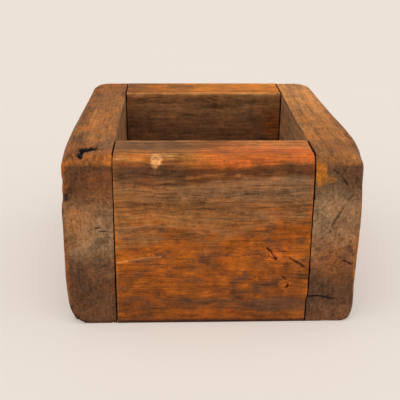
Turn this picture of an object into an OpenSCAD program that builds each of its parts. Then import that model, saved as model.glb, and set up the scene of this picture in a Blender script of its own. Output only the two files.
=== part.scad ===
// Butter mold: a square box of four thick boards with a push-up press that carries the print.
// The front and back boards stand between two side blocks, and cut nails through the
// side blocks hold the walls and the base together.
// Frame: origin at the middle of the underside, +Z up, -Y towards the front board.

/* [Box] */
// Outer width, left to right
mold_w = 136; // [115:0.5:180]
// Outer depth, front to back
mold_d = 145; // [120:0.5:190]
// Height of the walls
mold_h = 82; // [60:0.5:120]

/* [Boards] */
// Thickness of the left side block
left_t = 23.5; // [18:0.5:28]
// Thickness of the right side block
right_t = 23.5; // [18:0.5:28]
// Thickness of the front board
front_t = 25.5; // [18:0.5:30]
// Thickness of the back board
back_t = 28; // [18:0.5:32]
// Thickness of the base board
base_t = 9.5; // [8:0.5:14]
// Shrinkage gap at each end of the front and back boards, and round the base board
joint_gap = 0.3; // [0.1:0.05:0.6]

/* [Worn edges] */
// How much further in each outer side lies at the back than at the front
side_taper = 3.4; // [0:0.2:5]
// Radius of the long top edges of the side blocks
side_top_round = 4; // [2:0.5:8]
// Radius of the long bottom edges of the side blocks
side_foot_round = 7; // [2:0.5:9]
// Radius of the front board's top edge
front_round = 6; // [2:0.5:8]
// Radius of the back board's top edge
back_round = 3; // [1:0.5:8]
// Radius of the upright front corners
front_corner_round = 2.5; // [1:0.5:6]
// Radius of the upright back corners
back_corner_round = 12; // [1:0.5:12]
// Radius of the bottom edges at front and back
foot_round = 0.8; // [0.4:0.1:2]

/* [Nails] */
// Length of the nails that hold the walls
wall_nail_l = 50; // [40:1:60]
// Length of the nails that hold the base board
base_nail_l = 42; // [36:1:50]
// Nails in each upright joint
nails_per_joint = 3; // [2:1:4]
// Height of the lowest wall nail, and distance of the highest one from the rim
nail_edge = 13; // [12:0.5:18]
// Distance of each base nail from the middle of the box
base_nail_y = 28; // [22:1:34]
// Depth of the nail heads below the wood
nail_sink = 0.4; // [0.2:0.1:1]

/* [Press] */
// Thickness of the press plate
plate_t = 9.5; // [8:0.5:14]
// Clearance of the press plate from each wall
plate_clear = 0.8; // [0.4:0.1:1.5]
// Radius of the push boss under the plate
boss_r = 15; // [10:0.5:18]
// Clearance of the boss in the base board's hole
boss_clear = 0.5; // [0.3:0.1:1]
// Height of the boss's lower end above the table
boss_lift = 0.5; // [0.3:0.1:1.5]
// Radius of the boss's tenon in the plate
tenon_r = 7; // [5:0.5:9]
// Length of the tenon
tenon_l = 5.5; // [4:0.5:7]

/* [Carved print] */
// Length of the rosette's petals
petal_l = 27; // [18:1:32]
// Depth of the carving
carve_depth = 1.6; // [0.8:0.2:2.4]
// Inner radius of the ring round the rosette
ring_r = 33; // [24:1:38]
// Width of the carved lines
line_w = 1.8; // [1:0.2:3]

/* [Hidden] */
$fn = 96;

// Inner faces of the walls
left_face = -mold_w / 2 + left_t;
right_face = mold_w / 2 - right_t;
front_face = -mold_d / 2 + front_t;
back_face = mold_d / 2 - back_t;
// Middle of the cavity, where the press stands
press_x = (left_face + right_face) / 2;
press_y = (front_face + back_face) / 2;
plate_w = right_face - left_face - 2 * plate_clear;
plate_d = back_face - front_face - 2 * plate_clear;
// Nail section: width tapers from shank to tip, thickness stays the same
shank_w = 3.2;
shank_t = 2.2;
tip_w = 1.4;
head_w = 5;
head_h = 3.4;
head_t = 1.3;
nail_fit = 0.05;
tenon_fit = 0.05;
past = 1;
// Rows of nails in the walls and in the base
front_row_y = -mold_d / 2 + front_t / 2;
back_row_y = mold_d / 2 - back_t / 2;
wall_nail_z = [for (i = [0 : nails_per_joint - 1])
    nail_edge + i * (mold_h - 2 * nail_edge) / (nails_per_joint - 1)];
base_nail_z = base_t / 2;
// Carving
petals = 6;
petal_start = 1.5;
corner_leaf_l = 11;
border_inset = 3.5;
plate_round = 1.5;
boss_chamfer = 1.2;

// How far a rounded edge of radius r lies inside the flat face, at height z above the edge
function edge_inset(z, r) = z >= r ? 0 : r - sqrt(r * r - (r - z) * (r - z));

// How far a side's flat face lies inside the box's full width, at y
function taper_inset(y) = side_taper * (y + mold_d / 2) / mold_d;

function direction(from, to) = (to - from) / norm(to - from);

// What the corner at p, between its neighbours a and b, loses to a round of radius r
module corner_waste(a, p, b, r) {
    u = direction(p, a);
    v = direction(p, b);
    half_angle = acos(u * v) / 2;
    tangent = r / tan(half_angle);
    centre = p + (u + v) / norm(u + v) * r / sin(half_angle);
    difference() {
        polygon([p + u * tangent, centre, p + v * tangent, p - (u + v) * past]);
        translate(centre) circle(r);
    }
}

// Rectangle from [0, 0] to [w, h], rounded by radii at its
// lower left, lower right, upper right and upper left corners; 0 leaves a corner sharp
module worn_rectangle(w, h, radii) {
    corners = [[0, 0], [w, 0], [w, h], [0, h]];
    difference() {
        square([w, h]);
        for (i = [0 : 3])
            if (radii[i] > 0) corner_waste(corners[(i + 3) % 4], corners[i], corners[(i + 1) % 4], radii[i]);
    }
}

// Outer face of one side with its rounded long edges, turned in towards the back
module tapered_side(side) {
    length = mold_d + 2 * side_taper + 2 * past;
    translate([side * mold_w / 2, -mold_d / 2, 0])
        mirror([side > 0 ? 1 : 0, 0, 0])
            rotate([0, 0, -atan(side_taper / mold_d)])
                translate([0, length - past, 0])
                    rotate([90, 0, 0])
                        linear_extrude(height = length)
                            worn_rectangle(mold_w + past, mold_h, [side_foot_round, 0, 0, side_top_round]);
}

// Outer shape of the whole box with its edges worn round
module worn_envelope() {
    half_back = mold_w / 2 - side_taper;
    plan = [[-mold_w / 2, -mold_d / 2], [mold_w / 2, -mold_d / 2],
            [half_back, mold_d / 2], [-half_back, mold_d / 2]];
    radii = [front_corner_round, front_corner_round, back_corner_round, back_corner_round];
    difference() {
        intersection() {
            tapered_side(-1);
            tapered_side(1);
            translate([-mold_w / 2 - past, -mold_d / 2, 0])
                rotate([90, 0, 90])
                    linear_extrude(height = mold_w + 2 * past)
                        worn_rectangle(mold_d, mold_h, [foot_round, foot_round, back_round, front_round]);
        }
        for (i = [0 : 3])
            translate([0, 0, -past])
                linear_extrude(height = mold_h + 2 * past)
                    corner_waste(plan[(i + 3) % 4], plan[i], plan[(i + 1) % 4], radii[i]);
    }
}

// Shank of a cut nail along +X from its head at the origin, larger all round by grow
module nail_shank(length, grow) {
    translate([0, 0, -shank_t / 2 - grow])
        linear_extrude(height = shank_t + 2 * grow)
            polygon([[0, -shank_w / 2 - grow], [length + grow, -tip_w / 2 - grow],
                     [length + grow, tip_w / 2 + grow], [0, shank_w / 2 + grow]]);
}

module cut_nail(length) {
    union() {
        translate([0, -head_w / 2, -head_h / 2]) cube([head_t, head_w, head_h]);
        nail_shank(length, 0);
    }
}

// Hole that a cut nail leaves, open towards its head
module nail_hole(length) {
    translate([-side_foot_round, -head_w / 2 - nail_fit, -head_h / 2 - nail_fit])
        cube([side_foot_round + head_t + nail_fit, head_w + 2 * nail_fit, head_h + 2 * nail_fit]);
    nail_shank(length, nail_fit);
}

// Where the head of a nail at y and z starts, inside the box's full width
function head_depth(y, z) =
    taper_inset(y + head_w / 2) + edge_inset(z - head_h / 2, side_foot_round) + nail_sink;

// Places its children where a nail of the left (-1) or right (1) side starts, pointing inwards
module at_nail(side, y, z) {
    translate([side * (mold_w / 2 - head_depth(y, z)), y, z])
        mirror([side > 0 ? 1 : 0, 0, 0])
            children();
}

module wall_nails(side, y) {
    color("dimgray")
        for (z = wall_nail_z) at_nail(side, y, z) cut_nail(wall_nail_l);
}

module base_nails(side) {
    color("dimgray")
        for (y = [-base_nail_y, base_nail_y]) at_nail(side, y, base_nail_z) cut_nail(base_nail_l);
}

// Side wall of the given thickness, with the holes of every nail driven through it
module side_block(side, thickness) {
    difference() {
        intersection() {
            worn_envelope();
            translate([side > 0 ? right_face : -mold_w / 2 - past, -mold_d / 2 - past, -past])
                cube([thickness + past, mold_d + 2 * past, mold_h + 2 * past]);
        }
        for (y = [front_row_y, back_row_y], z = wall_nail_z) at_nail(side, y, z) nail_hole(wall_nail_l);
        for (y = [-base_nail_y, base_nail_y]) at_nail(side, y, base_nail_z) nail_hole(base_nail_l);
    }
}

module left_side_block() {
    color("saddlebrown") side_block(-1, left_t);
}

module right_side_block() {
    color("saddlebrown") side_block(1, right_t);
}

// A wall board between the side blocks, from y_low to y_high, with its row of nail holes
module cross_board(y_low, y_high, nail_y) {
    difference() {
        intersection() {
            worn_envelope();
            translate([left_face + joint_gap, y_low, -past])
                cube([right_face - left_face - 2 * joint_gap, y_high - y_low, mold_h + 2 * past]);
        }
        for (side = [-1, 1], z = wall_nail_z) at_nail(side, nail_y, z) nail_hole(wall_nail_l);
    }
}

module front_board() {
    color("sienna") cross_board(-mold_d / 2 - past, front_face, front_row_y);
}

module back_board() {
    color("sienna") cross_board(back_face, mold_d / 2 + past, back_row_y);
}

module base_board() {
    color("peru")
        difference() {
            translate([left_face + joint_gap, front_face + joint_gap, 0])
                cube([right_face - left_face - 2 * joint_gap,
                      back_face - front_face - 2 * joint_gap, base_t]);
            translate([press_x, press_y, -past])
                cylinder(r = boss_r + boss_clear, h = base_t + 2 * past);
            for (side = [-1, 1], y = [-base_nail_y, base_nail_y])
                at_nail(side, y, base_nail_z) nail_hole(base_nail_l);
        }
}

// Pointed leaf of length l along +X from the origin, between two arcs of radius l
module leaf(l) {
    intersection() {
        rotate(60) translate([l, 0]) circle(l);
        rotate(-60) translate([l, 0]) circle(l);
    }
}

// Plan of the carving: a six-petal rosette in a ring, a leaf in each corner and a border line
module print_plan() {
    for (i = [0 : petals - 1]) rotate(i * 360 / petals) translate([petal_start, 0]) leaf(petal_l);
    difference() {
        circle(ring_r + line_w);
        circle(ring_r);
    }
    for (turn = [45 : 90 : 315])
        rotate(turn) translate([ring_r + 2 * line_w, 0]) leaf(corner_leaf_l);
    difference() {
        square([plate_w - 2 * border_inset, plate_d - 2 * border_inset], center = true);
        square([plate_w - 2 * (border_inset + line_w), plate_d - 2 * (border_inset + line_w)], center = true);
    }
}

module press_plate() {
    color("burlywood")
        translate([press_x, press_y, base_t])
            difference() {
                translate([-plate_w / 2, -plate_d / 2, 0])
                    linear_extrude(height = plate_t)
                        worn_rectangle(plate_w, plate_d, [for (i = [0 : 3]) plate_round]);
                translate([0, 0, plate_t - carve_depth])
                    linear_extrude(height = carve_depth + past) print_plan();
                translate([0, 0, -past]) cylinder(r = tenon_r + tenon_fit, h = tenon_l + tenon_fit + past);
            }
}

module press_boss() {
    color("tan")
        translate([press_x, press_y, boss_lift])
            rotate_extrude()
                polygon([[0, 0], [boss_r - boss_chamfer, 0], [boss_r, boss_chamfer],
                         [boss_r, base_t - boss_lift], [tenon_r, base_t - boss_lift],
                         [tenon_r, base_t - boss_lift + tenon_l], [0, base_t - boss_lift + tenon_l]]);
}

left_side_block();
right_side_block();
front_board();
back_board();
base_board();
press_plate();
press_boss();
wall_nails(-1, front_row_y);  // front_left_nails
wall_nails(1, front_row_y);  // front_right_nails
wall_nails(-1, back_row_y);  // back_left_nails
wall_nails(1, back_row_y);  // back_right_nails
base_nails(-1);  // base_left_nails
base_nails(1);  // base_right_nails
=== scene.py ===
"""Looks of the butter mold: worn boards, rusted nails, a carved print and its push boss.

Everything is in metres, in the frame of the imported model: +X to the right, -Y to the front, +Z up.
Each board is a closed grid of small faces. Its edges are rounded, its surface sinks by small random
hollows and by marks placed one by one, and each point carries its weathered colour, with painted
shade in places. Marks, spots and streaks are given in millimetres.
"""
import itertools
import math
import bpy
import numpy as np
from mathutils import Matrix, Vector


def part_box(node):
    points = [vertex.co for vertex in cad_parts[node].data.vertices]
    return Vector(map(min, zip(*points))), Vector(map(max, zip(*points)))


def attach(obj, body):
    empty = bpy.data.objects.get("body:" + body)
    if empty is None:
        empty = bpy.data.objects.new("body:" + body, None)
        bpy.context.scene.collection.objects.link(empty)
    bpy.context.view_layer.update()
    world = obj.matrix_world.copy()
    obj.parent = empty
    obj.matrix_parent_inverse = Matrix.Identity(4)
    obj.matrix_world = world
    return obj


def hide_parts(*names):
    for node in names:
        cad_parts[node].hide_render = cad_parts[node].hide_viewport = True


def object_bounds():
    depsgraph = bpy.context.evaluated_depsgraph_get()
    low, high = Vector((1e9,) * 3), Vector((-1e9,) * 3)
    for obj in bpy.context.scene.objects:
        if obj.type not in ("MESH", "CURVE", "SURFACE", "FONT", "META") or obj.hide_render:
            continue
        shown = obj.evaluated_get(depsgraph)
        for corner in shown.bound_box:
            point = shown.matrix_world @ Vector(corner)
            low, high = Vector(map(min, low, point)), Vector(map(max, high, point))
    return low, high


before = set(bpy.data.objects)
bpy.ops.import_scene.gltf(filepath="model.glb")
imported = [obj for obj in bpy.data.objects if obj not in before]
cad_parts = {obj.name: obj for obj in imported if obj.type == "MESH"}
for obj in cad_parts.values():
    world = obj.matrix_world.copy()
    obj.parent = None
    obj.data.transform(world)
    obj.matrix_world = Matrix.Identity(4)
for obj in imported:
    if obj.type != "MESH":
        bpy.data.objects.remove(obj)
cad_low, cad_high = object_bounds()

MM = 0.001

# ---------------------------------------------------------------- sizes

FRONT, BACK = cad_low.y, cad_high.y
RIM = cad_high.z
DEPTH = BACK - FRONT
FRONT_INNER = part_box("front_board")[1].y
BACK_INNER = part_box("back_board")[0].y
BOARD_LEFT, BOARD_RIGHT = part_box("front_board")[0].x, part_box("front_board")[1].x

# The taper and the rounded edges, as the frame has them
SIDE_TAPER = 3.4 * MM
FRONT_ROUND = 6.0 * MM
BACK_ROUND = 3.0 * MM
BACK_CORNER_ROUND = 12.0 * MM
FOOT_ROUND = 0.8 * MM
SIDE_FOOT_ROUND = 7.0 * MM
RIM_ARRIS = 0.9 * MM

# Fine joints: how sharp their arrises are, and how far a wall board reaches into them at each end
JOINT_ARRIS = 0.22 * MM
JOINT_CLOSING = 0.14 * MM

# How fine the grids are: at an arris, on the faces seen most and least, and through a board
ARRIS_STEP = 0.14 * MM
FINE_STEP = 0.46 * MM
COARSE_STEP = 1.35 * MM
THICKNESS_STEP = 0.9 * MM
# How far back from the front the finer faces go
FRONT_REACH = 16 * MM

# ---------------------------------------------------------------- colours


def shade(red, green, blue):
    """Linear colour from the usual 0 to 255 values."""
    return np.array([((c / 255 + 0.055) / 1.055) ** 2.4 if c > 10 else c / 255 / 12.92
                     for c in (red, green, blue)])


SOOT_AND_SHADE = shade(34, 22, 17)
UMBER = shade(98, 63, 40)
WALNUT = shade(130, 84, 48)
BROWN = shade(158, 101, 53)
CHESTNUT = shade(158, 88, 38)
RUSSET = shade(166, 84, 12)
HONEY = shade(186, 118, 56)
AMBER = shade(208, 122, 36)
EMBER = shade(216, 104, 42)
STRAW = shade(240, 168, 100)
DRIFT = shade(154, 116, 82)
CLAY = shade(140, 94, 60)
OCHRE = shade(170, 104, 34)

# ---------------------------------------------------------------- random surfaces


def cell_value(cell, seed):
    """Random values from -1 to 1, one for each whole-number cell."""
    x, y, z = (cell[:, k].astype(np.int64) for k in range(3))
    mixed = (x * 73856093) ^ (y * 19349663) ^ (z * 83492791) ^ (seed * 265443576)
    mixed = ((mixed ^ (mixed >> 13)) * 1274126177) & 0xFFFFFFFF
    mixed = ((mixed ^ (mixed >> 15)) * 2246822519) & 0xFFFFFFFF
    return (mixed ^ (mixed >> 16)) / 0xFFFFFFFF * 2 - 1


def rough(points, size, seed, octaves=1):
    """Smooth random values, about -1 to 1, that change over size: one length, or one for each axis."""
    total = np.zeros(len(points))
    for octave in range(octaves):
        cell = points / (np.asarray(size, float) / 2 ** octave) + 1000
        base = np.floor(cell)
        part = cell - base
        part = part * part * (3 - 2 * part)
        for corner in itertools.product((0, 1), repeat=3):
            share = np.prod(np.where(corner, part, 1 - part), axis=1)
            total += share * cell_value(base + corner, seed + octave) / 2 ** octave
    return total


def near(points, centre, size):
    """1 at centre, fading to 0 over size: one length, or one for each axis."""
    return np.exp(-np.sum(((points - centre) / np.asarray(size, float)) ** 2, axis=1))


def ease(values, start, end):
    """0 before start, 1 after end, and smooth between them. start may be the higher."""
    part = np.clip((values - start) / (end - start), 0, 1)
    return part * part * (3 - 2 * part)


def distance_to_path(points, path):
    """How far each point is from a line through the points of path."""
    nearest = np.full(len(points), np.inf)
    for start, end in zip(np.asarray(path[:-1], float), np.asarray(path[1:], float)):
        run = end - start
        part = np.clip((points - start) @ run / (run @ run), 0, 1)
        nearest = np.minimum(nearest, np.linalg.norm(points - start - part[:, None] * run, axis=1))
    return nearest


# ---------------------------------------------------------------- closed grids


def grid_lines(low, high, step, front_step=None):
    """Places from low to high, step apart, or front_step apart near low, closing up at both ends."""
    places = [low]
    while places[-1] < high - ARRIS_STEP / 2:
        here = places[-1]
        to_end = min(here - low, high - here)
        widest = front_step if front_step and here - low < FRONT_REACH else step
        places.append(here + min(widest, ARRIS_STEP + 0.45 * max(to_end, 0)))
    places = np.array(places)
    return low + (places - low) * (high - low) / (places[-1] - low)


def grid_block(xs, ys, zs):
    """Points and faces of a closed block with grid lines at xs, ys and zs."""
    shape = (len(xs), len(ys), len(zs))
    outside = np.zeros(shape, bool)
    for axis in range(3):
        outside.swapaxes(0, axis)[[0, -1]] = True
    number = np.full(shape, -1)
    number[outside] = np.arange(outside.sum())
    points = np.stack([g[outside] for g in np.meshgrid(xs, ys, zs, indexing="ij")], axis=1)
    faces = []
    for axis, end in itertools.product(range(3), (0, -1)):
        sheet = number.take(end, axis=axis)
        quads = np.stack([sheet[:-1, :-1], sheet[1:, :-1], sheet[1:, 1:], sheet[:-1, 1:]], axis=-1)
        inward = (end == 0) != (axis == 1)
        faces.append(quads.reshape(-1, 4)[:, ::-1] if inward else quads.reshape(-1, 4))
    return points, np.concatenate(faces)


def round_edge(points, side_a, side_b, radius):
    """Rounds the edge between two flat sides. A side is its axis, its place and the way into the wood."""
    (a, place_a, way_a), (b, place_b, way_b) = side_a, side_b
    past_a = radius - (points[:, a] - place_a) * way_a
    past_b = radius - (points[:, b] - place_b) * way_b
    reach = np.hypot(past_a, past_b)
    beyond = (past_a > 0) & (past_b > 0) & (reach > radius)
    pull = np.where(beyond, 1 - radius / np.maximum(reach, 1e-9), 0)
    points[:, a] += way_a * past_a * pull
    points[:, b] += way_b * past_b * pull


def outward_of(points, faces):
    """Unit vectors that point out of the surface at each point."""
    a, b, c, d = (points[faces[:, k]] for k in range(4))
    across = np.cross(c - a, d - b)
    total = np.stack([sum(np.bincount(faces[:, k], across[:, axis], len(points)) for k in range(4))
                      for axis in range(3)], axis=1)
    return total / np.maximum(np.linalg.norm(total, axis=1, keepdims=True), 1e-12)


# ---------------------------------------------------------------- wood pieces

# Weathered ridges between the soft and hard grain
RIDGE_WIDTH = 1.5 * MM
RIDGE_LENGTH = 35 * MM
# Wood lost all over, in millimetres, before any mark
WORN_AWAY = 0.2

# The front face and the top, in millimetres, where most marks lie
FACE = -72.5
TOP = 82.0


def on_face(*places):
    """Points of a line on the front face, from how far across and how high each is."""
    return [(x, FACE, z) for x, z in places]


def on_top(*places):
    """Points of a line on the top, from how far across and how far back each is."""
    return [(x, y, TOP) for x, y in places]


class Board:
    """A wooden piece in the making: its points, faces, how deep each point sinks, and its colours."""

    def __init__(self, points, faces, grain, colour, seed):
        self.points, self.faces, self.grain, self.seed = points, faces, grain, seed
        self.outward = outward_of(points, faces)
        self.end_grain = ease(np.abs(self.outward[:, grain]), 0.45, 0.8)
        self.sink = np.zeros(len(points))
        self.colour = np.tile(np.asarray(colour, float), (len(points), 1))
        self.crack = np.zeros(len(points))
        self.polish = np.zeros(len(points))

    def facing(self, axis, way):
        """1 where the surface faces that way along the axis, 0 elsewhere."""
        return ease(self.outward[:, axis] * way, 0.35, 0.8)

    def tint(self, colour, share):
        """Blends the colour in by share, from 0 to 1 at each point."""
        self.colour += (colour - self.colour) * np.clip(share, 0, 1)[:, None]

    def patch(self, colour, where, centre, size, share):
        """Soft colour round centre, on the part of the surface that where marks. Lengths are in metres."""
        self.tint(colour, where * near(self.points, centre, size) * share)

    def fade(self, colour, where, values, start, end, share=1.0):
        """Colour that comes in as values go from start to end, on the part that where marks."""
        self.tint(colour, where * ease(values, start, end) * share)

    def weather(self, lumps, ridges, pits):
        """Broad unevenness, ridges along the grain and pitted ends. Depths are in millimetres."""
        stretch = np.full(3, RIDGE_WIDTH)
        stretch[self.grain] = RIDGE_LENGTH
        depth = WORN_AWAY + lumps * rough(self.points, 24 * MM, self.seed, octaves=2)
        depth += (1 - self.end_grain) * ridges * rough(self.points, stretch, self.seed + 5, octaves=2)
        depth += self.end_grain * pits * rough(self.points, 2.4 * MM, self.seed + 9, octaves=3)
        rests = self.facing(2, -1) * ease(self.points[:, 2], 1.0 * MM, 0.3 * MM)
        self.sink += np.maximum(depth, 0) * (1 - 0.85 * rests) * MM

    def knock(self, count, largest, deepest):
        """Random small dents."""
        rng = np.random.default_rng(self.seed)
        for _ in range(count):
            centre = self.points[rng.integers(len(self.points))]
            size = largest * rng.uniform(0.3, 1.0, 3)
            self.sink += near(self.points, centre, size) * deepest * rng.uniform(0.3, 1.0)

    def dent(self, centre, size, depth, dark=0.0):
        """A hollow at centre, darkened by dark. Place, size and depth are in millimetres."""
        mark = near(self.points, np.array(centre) * MM, np.array(size) * MM)
        self.sink += mark * depth * MM
        self.crack = np.maximum(self.crack, mark * dark)

    def groove(self, path, width, depth, dark=0.8, wander=0.4):
        """A split or scratch along path, which wanders a little. Sizes are in millimetres."""
        shift = rough(self.points, 3.5 * MM, self.seed + 21)[:, None] * wander * MM
        away = distance_to_path(self.points + shift, np.array(path) * MM) / MM
        mark = np.exp(-(away / width) ** 2)
        self.sink += mark * depth * MM
        self.crack = np.maximum(self.crack, np.exp(-(away / (width * 0.9)) ** 2) * dark)

    def spot(self, centre, size, colour, share=1.0):
        """A ragged spot of colour. Place and size are in millimetres."""
        mark = near(self.points, np.array(centre) * MM, np.array(size) * MM)
        ragged = mark + 0.22 * rough(self.points, 1.6 * MM, self.seed + 61, octaves=2)
        self.tint(colour, ease(ragged, 0.34, 0.62) * share)

    def streak(self, path, width, colour, share):
        """A thin line of colour along path, which wanders a little. Sizes are in millimetres."""
        shift = rough(self.points, 4 * MM, self.seed + 63)[:, None] * 0.4 * MM
        away = distance_to_path(self.points + shift, np.array(path) * MM) / MM
        self.tint(colour, np.exp(-(away / width) ** 2) * share)

    def settle(self):
        """Sinks the surface by the depths gathered so far, and keeps it inside the whole object's box."""
        self.points -= self.outward * self.sink[:, None]
        np.clip(self.points, tuple(cad_low), tuple(cad_high), out=self.points)


def link(name, data):
    """New object in the scene."""
    item = bpy.data.objects.new(name, data)
    bpy.context.scene.collection.objects.link(item)
    return item


def stand_for(node, piece, body):
    """Makes the piece ride on a body and take the node's place."""
    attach(piece, body)
    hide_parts(node)


def make_board(name, board, material, body):
    """Object of a finished board, with its colours and marks as attributes of its points.

    A face that repeats a corner is a triangle.
    """
    board.settle()
    faces = [list(dict.fromkeys(face)) for face in board.faces.tolist()]
    mesh = bpy.data.meshes.new(name + "_worn")
    mesh.from_pydata(board.points.tolist(), [], faces)
    mesh.polygons.foreach_set("use_smooth", [True] * len(mesh.polygons))
    mesh.materials.append(material)
    mesh.update()
    stand_for(name, link(mesh.name, mesh), body)
    attributes = mesh.attributes
    # The colour of each point: its weathered colour, with painted shade in places
    rgba = np.hstack([board.colour, np.ones((len(board.points), 1))]).astype(np.float32)
    attributes.new("patina_and_shade", "FLOAT_COLOR", "POINT").data.foreach_set("color", rgba.ravel())
    for key, values in (("crack", board.crack), ("polish", board.polish), ("end_grain", board.end_grain)):
        attributes.new(key, "FLOAT", "POINT").data.foreach_set("value", values.astype(np.float32))


# ---------------------------------------------------------------- node trees


class Tree:
    """Adds nodes to a tree and links them, so that a recipe reads from top to bottom."""

    def __init__(self, tree):
        self.tree = tree

    def add(self, kind, inputs=None, output=0, **settings):
        """New node with its settings and inputs. Returns one of its output sockets."""
        node = self.tree.nodes.new(kind)
        for key, value in settings.items():
            setattr(node, key, value)
        for key, value in (inputs or {}).items():
            if isinstance(value, bpy.types.NodeSocket):
                self.tree.links.new(value, node.inputs[key])
            else:
                node.inputs[key].default_value = value
        return node.outputs[output] if len(node.outputs) else node

    def math(self, operation, a, b=0.0):
        return self.add("ShaderNodeMath", {0: a, 1: b}, operation=operation)

    def vector(self, operation, a, b=(0.0, 0.0, 0.0)):
        return self.add("ShaderNodeVectorMath", {0: a, 1: b}, operation=operation)

    def scaled(self, vector, factor):
        return self.add("ShaderNodeVectorMath", {0: vector, "Scale": factor}, operation="SCALE")

    def noise(self, vector, scale, detail=3.0, roughness=0.55, output=0):
        inputs = {"Vector": vector, "Scale": scale, "Detail": detail, "Roughness": roughness}
        return self.add("ShaderNodeTexNoise", inputs, output)

    def remap(self, value, low, high, to_low=0.0, to_high=1.0):
        inputs = {"Value": value, "From Min": low, "From Max": high, "To Min": to_low, "To Max": to_high}
        return self.add("ShaderNodeMapRange", inputs, interpolation_type="SMOOTHSTEP")

    def mix(self, factor, a, b):
        """Blend of two colours, given as sockets or as numbers."""
        node = self.tree.nodes.new("ShaderNodeMix")
        node.data_type = "RGBA"
        for socket, value in ((node.inputs[0], factor), (node.inputs[6], a), (node.inputs[7], b)):
            if isinstance(value, bpy.types.NodeSocket):
                self.tree.links.new(value, socket)
            else:
                socket.default_value = value if np.isscalar(value) else (*value[:3], 1.0)
        return node.outputs[2]

    def mapped(self, vector, scale=(1, 1, 1), rotation=(0, 0, 0), location=(0, 0, 0)):
        return self.add("ShaderNodeMapping", {"Vector": vector, "Scale": scale,
                                              "Rotation": rotation, "Location": location})

    def attribute(self, name, output="Fac"):
        return self.add("ShaderNodeAttribute", output=output, attribute_name=name)


# How the saw marks on end grain slope
SAW_ANGLE = math.radians(38)


def new_material(name):
    """Empty node material. Returns the material, its tree and its shader."""
    material = bpy.data.materials.new(name)
    material.use_nodes = True
    return material, Tree(material.node_tree), material.node_tree.nodes["Principled BSDF"]


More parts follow.
